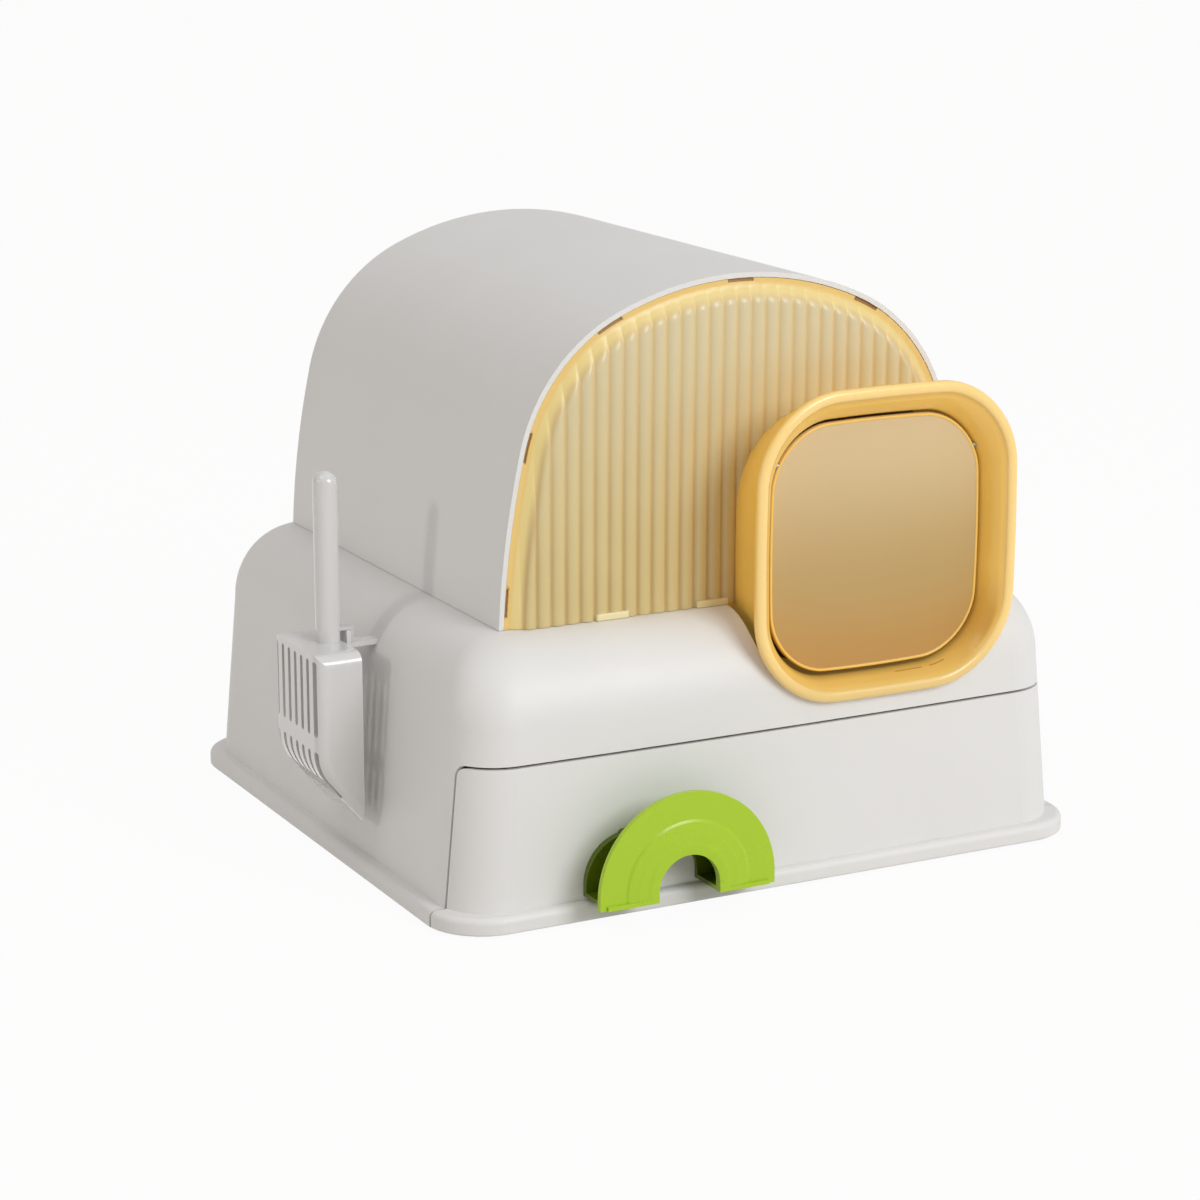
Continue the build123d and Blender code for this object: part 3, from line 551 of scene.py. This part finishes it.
class LitterBoxStage(bpy.types.PropertyGroup):
    """Camera and light."""

    azimuth: FloatProperty(
        name="Azimuth",
        description="Camera's turn about the box",
        subtype="ANGLE",
        default=radians(-27.364),
    )
    elevation: FloatProperty(
        name="Elevation",
        description="Camera's height angle",
        subtype="ANGLE",
        default=radians(14.426),
    )
    lens: FloatProperty(name="Lens", description="Focal length", unit="CAMERA", default=97.09)
    key: lamp_power("Key light", "Power of the front softbox", 50.0)
    fill: lamp_power("Top light", "Power of the softbox above", 8.0)
    side: lamp_power("Side light", "Power of the lamp on the left", 6.5)
    sky: FloatProperty(name="Sky", description="Strength of the even light", default=0.58, min=0)
    backdrop: FloatProperty(
        name="Backdrop", description="Share of plain white in the floor", default=0.95
    )


# ---- Finishes ------------------------------------------------------------------------------------


SATIN_NODES = (
    "base_plate",
    "housing",
    "scoop_hook",
    "drawer_front",
    "hood_shell",
    "rear_panel",
)


def satin_white(name, colour, rough=0.42, grain=1.0):
    """Satin moulded plastic: faint flow mottle, fine spark-eroded grain and handling wear."""
    made = Finish(name, Specular_IOR_Level=0.45)
    mottle = made.noise(6.0, 3.0)
    grit = made.noise(1400.0, 2.0)
    low = tuple(c * 0.975 for c in colour)
    made.colour(made.blend(mottle.smooth(0.3, 0.7), low, colour))
    made.rough(rough + made.noise(40.0, 3.0) * 0.08)
    made.relief(grit, 0.00006 * grain, 0.5)
    return made


class LITTERBOX_OT_white_mouldings(bpy.types.Operator):
    """Finish the off-white mouldings: base, housing, drawer, hood, back panel and tray."""

    bl_idname = "litterbox.white_mouldings"
    bl_label = "White mouldings"

    def execute(self, context):
        body = tuple(context.scene.litterbox_colours.body)
        satin = satin_white("satin_white_plastic", body)
        for node in SATIN_NODES:
            dress(node, satin)
        dress("litter_tray", satin_white("tray_white_plastic", tuple(c * 0.95 for c in body)))
        # The scoop's white is the body's white made darker: painted shade on the scoop, which hangs
        # on the shaded left side.
        gloss = satin_white("scoop_gloss_plastic", tuple(c * 0.88 for c in body), 0.16, 0.2)
        gloss.shader.inputs["Coat Weight"].default_value = 0.6
        dress("litter_scoop", gloss)
        pads = Finish("foot_rubber", Roughness=0.8)
        pads.colour(pads.blend(pads.noise(90.0), (0.03, 0.03, 0.03), (0.06, 0.06, 0.058)))
        dress("foot_pads", pads)
        return {"FINISHED"}


class LITTERBOX_OT_amber_mouldings(bpy.types.Operator):
    """Finish the tinted mouldings: window, tunnel, retainer and flap."""

    bl_idname = "litterbox.amber_mouldings"
    bl_label = "Amber mouldings"

    def execute(self, context):
        colours = context.scene.litterbox_colours
        window = self.window_finish(tuple(colours.window), tuple(colours.border))
        fit_piece(fluted_window(), "front_panel", "hood", window)
        tunnel = self.tunnel_finish(tuple(colours.tunnel), tuple(colours.border))
        fit_piece(entry_bell(), "entry_tunnel", "hood", tunnel)
        dress("tunnel_retainer", tunnel)
        flap = self.flap_finish(tuple(colours.flap), tuple(colours.tunnel))
        fit_piece(swing_flap(), "flap_door", "flap", flap)
        return {"FINISHED"}

    @staticmethod
    def window_finish(tan, amber):
        """Amber border and pale slope; on the flutes, painted shade in the grooves and a painted
        highlight on the crests, told apart by their depth, with painted shade towards the bottom.
        """
        made = Finish("window_tinted_plastic", Coat_Weight=0.25, Coat_Roughness=0.25)
        rise = (PANEL_FRONT / 1000 - made.y) * 1000
        # Painted shade: grooves and crests are painted darker towards the bottom of the window.
        height = made.z.smooth(0.20, 0.40)
        shaded_low_tan = tuple(c * k for c, k in zip(tan, (0.66, 0.56, 0.40)))
        shaded_groove = made.blend(height, shaded_low_tan, tan)
        crest = made.blend(height, (0.64, 0.50, 0.22), (0.70, 0.60, 0.37))
        # Painted shade in the grooves and a painted highlight on the crests, keyed to their depth.
        field = made.blend(rise.smooth(5.0, 6.7), shaded_groove, crest)
        cloud = made.noise(9.0, 3.0).smooth(0.35, 0.75)
        field = made.blend(cloud * 0.25, field, (0.80, 0.68, 0.36))
        edge = made.blend(rise.smooth(0.02, 0.9), amber, (0.84, 0.66, 0.27))
        shade = made.blend(rise.smooth(2.4, 5.4), edge, field)
        # Pale tabs stand above the field, and the shallow notches below the border are painted dark
        # brown: painted shade standing in for the dark of open slots
        shade = made.blend(rise.smooth(7.2, 7.6), shade, (0.86, 0.74, 0.42))
        made.colour(made.blend(rise.smooth(-0.9, -0.5), (0.34, 0.17, 0.03), shade))
        made.rough(0.34 + made.noise(50.0) * 0.1)
        made.relief(made.noise(700.0), 0.00003, 0.4)
        return made

    @staticmethod
    def tunnel_finish(amber, pale):
        """Amber, with a painted highlight on the lip's crest, painted shade low down and low on the
        right, dark painted shade in the snap slots, and a faint painted glow.
        """
        made = Finish(
            "tunnel_tinted_plastic", Coat_Weight=0.4, Coat_Roughness=0.15, Emission_Strength=0.1
        )
        cloud = made.noise(14.0, 3.0).smooth(0.35, 0.7)
        base = made.blend(cloud, tuple(c * 0.94 for c in amber), amber)
        # Painted highlight: paler amber on the lip's crest.
        crest = (-0.2285 - made.y) * 1000
        base = made.blend(crest.smooth(0.0, 3.4) * 0.6, base, (0.93, 0.70, 0.31))
        # Painted shade: deeper brown low on the right inside the tunnel, kept off the lip.
        deep = made.x.smooth(0.13, 0.18) * (1.0 - made.z.smooth(0.15, 0.21))
        deep = deep * (1.0 - crest.smooth(-1.0, 2.0))
        base = made.blend(deep * 0.85, base, (0.50, 0.22, 0.03))
        # Painted shade: darker amber low in the tunnel.
        low = 1.0 - made.z.smooth(0.125, 0.175)
        base = made.blend(low * 0.45, base, (0.62, 0.44, 0.15))
        # Painted shade: dark dashes on the tunnel's floor where the snap slots are.
        slot_shade_band = (1.0 - made.z.smooth(0.150, 0.152)) * (made.y > -0.2200) * (made.y < -0.2185)
        slot_shade_dash = ((made.x > 0.098) * (made.x < 0.120)) + ((made.x > 0.126) * (made.x < 0.138))
        made.colour(made.blend(slot_shade_band * slot_shade_dash * 0.7, base, (0.30, 0.14, 0.03)))
        made.rough(0.26 + made.noise(45.0) * 0.1)
        # A faint glow in the painted colour, Emission Strength 0.1: painted light that lifts the
        # tunnel's shade.
        made.link(base, made.shader.inputs["Emission Color"])
        return made

    @staticmethod
    def flap_finish(tan, amber):
        """Tan painted darker and browner downwards as painted shade, with an amber rim."""
        made = Finish("flap_tinted_plastic", Coat_Weight=0.2, Coat_Roughness=0.35)
        # Painted shade: brown low on the flap, paler tan at the top.
        low = made.blend(made.z.smooth(0.14, 0.22), (0.50, 0.25, 0.035), (0.50, 0.33, 0.11))
        shade = made.blend(made.z.smooth(0.20, 0.31), low, (0.70, 0.53, 0.29))
        shade = made.blend(made.noise(6.0, 3.0).smooth(0.3, 0.7) * 0.15, shade, tan)
        rim = (FLAP_PLANE / 1000 - 0.0016 - made.y) * 1000
        made.colour(made.blend(rim.smooth(0.0, 0.5), shade, amber))
        made.rough(0.38 + made.noise(50.0) * 0.1)
        made.relief(made.noise(900.0), 0.00003, 0.4)
        return made


class LITTERBOX_OT_handle_and_metal(bpy.types.Operator):
    """Finish the drawer's lime handle, its screws and the flap's pins."""

    bl_idname = "litterbox.handle_and_metal"
    bl_label = "Handle and metal"

    def execute(self, context):
        lime = tuple(context.scene.litterbox_colours.handle)
        made = Finish("lime_gloss_plastic", Specular_IOR_Level=0.5)
        shade = made.blend(made.noise(9.0), tuple(c * 0.95 for c in lime), lime)
        # The handle darkens towards the drawer, as its arch shades itself
        inside = tuple(c * 0.22 for c in lime)
        made.colour(made.blend(made.y.smooth(-0.262, -0.246), shade, inside))
        made.rough(0.25 + made.noise(60.0) * 0.06)
        ribs = arch_ribs()
        ribs.data.materials.append(made.material)
        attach(ribs, "drawer")
        dress("drawer_handle", made)
        metal = Finish("zinc_plated_steel", Metallic=1.0)
        metal.colour(metal.blend(metal.noise(400.0), (0.30, 0.29, 0.28), (0.42, 0.41, 0.40)))
        metal.rough(0.25 + metal.noise(700.0) * 0.2)
        for node in ("handle_screws", "flap_hinge_pins"):
            dress(node, metal)
        return {"FINISHED"}


# Metres, as in the scene
FLOOR_REACH = 30.0
FLOOR_GAP = 0.0003
LAMP_AIM = (0.0, 0.0, 0.2)
CAMERA_PLACE = (-1.0765, -2.04374, 0.74424)
SENSOR_WIDTH = 36.0


class LITTERBOX_OT_stage(bpy.types.Operator):
    """Pale floor, soft studio light, white background and the camera."""

    bl_idname = "litterbox.stage"
    bl_label = "Stage"

    def execute(self, context):
        scene = context.scene
        settings = scene.litterbox_stage
        scene.view_settings.view_transform = "Standard"
        self.lay_floor(scene, settings.backdrop)
        scene.world = self.studio_sky(settings.sky)
        # A key in front, a weaker softbox above and a small lamp on the left
        for name, place, size, watts, colour in (
            ("key_softbox", (0.9, -2.85, 1.8), 1.5, settings.key, (0.95, 0.985, 1.0)),
            ("top_softbox", (-1.5, -0.2, 2.6), 1.2, settings.fill, (1.0, 0.98, 0.96)),
            ("side_lamp", (-2.6, -0.1, 1.15), 0.22, settings.side, (1.0, 0.93, 0.88)),
        ):
            lamp = bpy.data.lights.new(name, "AREA")
            lamp.color = colour
            lamp.energy = watts
            lamp.size = size
            box = bpy.data.objects.new(name, lamp)
            box.location = place
            aim = np.array(LAMP_AIM) - np.array(place)
            tilt = np.arctan2(np.hypot(aim[0], aim[1]), -aim[2])
            box.rotation_euler = (tilt, 0.0, np.arctan2(-aim[0], aim[1]))
            scene.collection.objects.link(box)
        lens = bpy.data.cameras.new("camera")
        lens.lens = settings.lens
        lens.sensor_width = SENSOR_WIDTH
        camera = bpy.data.objects.new("camera", lens)
        camera.location = CAMERA_PLACE
        camera.rotation_euler = (radians(90) - settings.elevation, 0.0, settings.azimuth)
        scene.collection.objects.link(camera)
        scene.camera = camera
        return {"FINISHED"}

    @staticmethod
    def lay_floor(scene, backdrop):
        """One large quad just under the box, nearly plain white where it is seen."""
        mesh = bpy.data.meshes.new("floor")
        floor_z = CAD_BOX[0][2] - FLOOR_GAP
        corners = np.array([(-1, -1), (1, -1), (1, 1), (-1, 1)], float) * FLOOR_REACH
        mesh.from_pydata([(x, y, floor_z) for x, y in corners], [], [(0, 1, 2, 3)])
        floor = bpy.data.objects.new("floor", mesh)
        scene.collection.objects.link(floor)
        paper = Finish("floor_paper", Roughness=0.9, Specular_IOR_Level=0.1)
        paper.colour(paper.blend(paper.noise(3.0), (0.71, 0.67, 0.63), (0.73, 0.69, 0.65)))
        share = paper.seen() * backdrop
        white = paper.node("ShaderNodeEmission", {}, (1.0, 1.0, 1.0, 1.0), 1.0)
        lit = Value(paper, paper.shader.outputs[0])
        mixed = paper.node("ShaderNodeMixShader", {}, share, lit, white)
        paper.link(mixed, paper.tree.nodes["Material Output"].inputs["Surface"])
        mesh.materials.append(paper.material)

    @staticmethod
    def studio_sky(strength):
        """Even light, dimmer on the left, and white where a camera ray sees it."""
        world = bpy.data.worlds.new("studio_sky")
        world.use_nodes = True
        nodes, join = world.node_tree.nodes, world.node_tree.links.new
        back = nodes["Background"]
        back.inputs["Color"].default_value = (1.0, 0.985, 0.97, 1.0)
        path = nodes.new("ShaderNodeLightPath")
        seen = nodes.new("ShaderNodeMath")
        seen.operation = "MAXIMUM"
        join(path.outputs["Is Camera Ray"], seen.inputs[0])
        join(path.outputs["Is Transmission Ray"], seen.inputs[1])
        place = nodes.new("ShaderNodeTexCoord")
        split = nodes.new("ShaderNodeSeparateXYZ")
        join(place.outputs["Generated"], split.inputs[0])
        side = nodes.new("ShaderNodeMapRange")
        join(split.outputs["X"], side.inputs["Value"])
        dim, full = strength * 0.52, strength * 1.1
        for end, value in zip(("From Min", "From Max", "To Min", "To Max"), (-1.0, 0.3, dim, full)):
            side.inputs[end].default_value = value
        level = nodes.new("ShaderNodeMapRange")
        join(seen.outputs[0], level.inputs["Value"])
        join(side.outputs[0], level.inputs["To Min"])
        level.inputs["To Max"].default_value = 1.0
        join(level.outputs[0], back.inputs["Strength"])
        return world


class LITTERBOX_PT_panel(bpy.types.Panel):
    """Lists the steps and the settings."""

    bl_label = "Litter Box"
    bl_space_type = "VIEW_3D"
    bl_region_type = "UI"
    bl_category = "Litter Box"

    def draw(self, context):
        for step in STEPS:
            self.layout.operator(step.bl_idname)
        for group in (context.scene.litterbox_colours, context.scene.litterbox_stage):
            for name in group.bl_rna.properties.keys():
                if name not in ("rna_type", "name"):
                    self.layout.prop(group, name)


STEPS = (
    LITTERBOX_OT_white_mouldings,
    LITTERBOX_OT_amber_mouldings,
    LITTERBOX_OT_handle_and_metal,
    LITTERBOX_OT_stage,
)
CLASSES = (LitterBoxColours, LitterBoxStage, *STEPS, LITTERBOX_PT_panel)


def register():
    for item in CLASSES:
        bpy.utils.register_class(item)
    bpy.types.Scene.litterbox_colours = PointerProperty(type=LitterBoxColours)
    bpy.types.Scene.litterbox_stage = PointerProperty(type=LitterBoxStage)


def unregister():
    del bpy.types.Scene.litterbox_stage
    del bpy.types.Scene.litterbox_colours
    for item in reversed(CLASSES):
        bpy.utils.unregister_class(item)


def main():
    register()
    for step in STEPS:
        group, name = step.bl_idname.split(".")
        if getattr(getattr(bpy.ops, group), name)() != {"FINISHED"}:
            raise RuntimeError(f"{step.bl_label} could not finish")


if __name__ == "__main__":
    main()
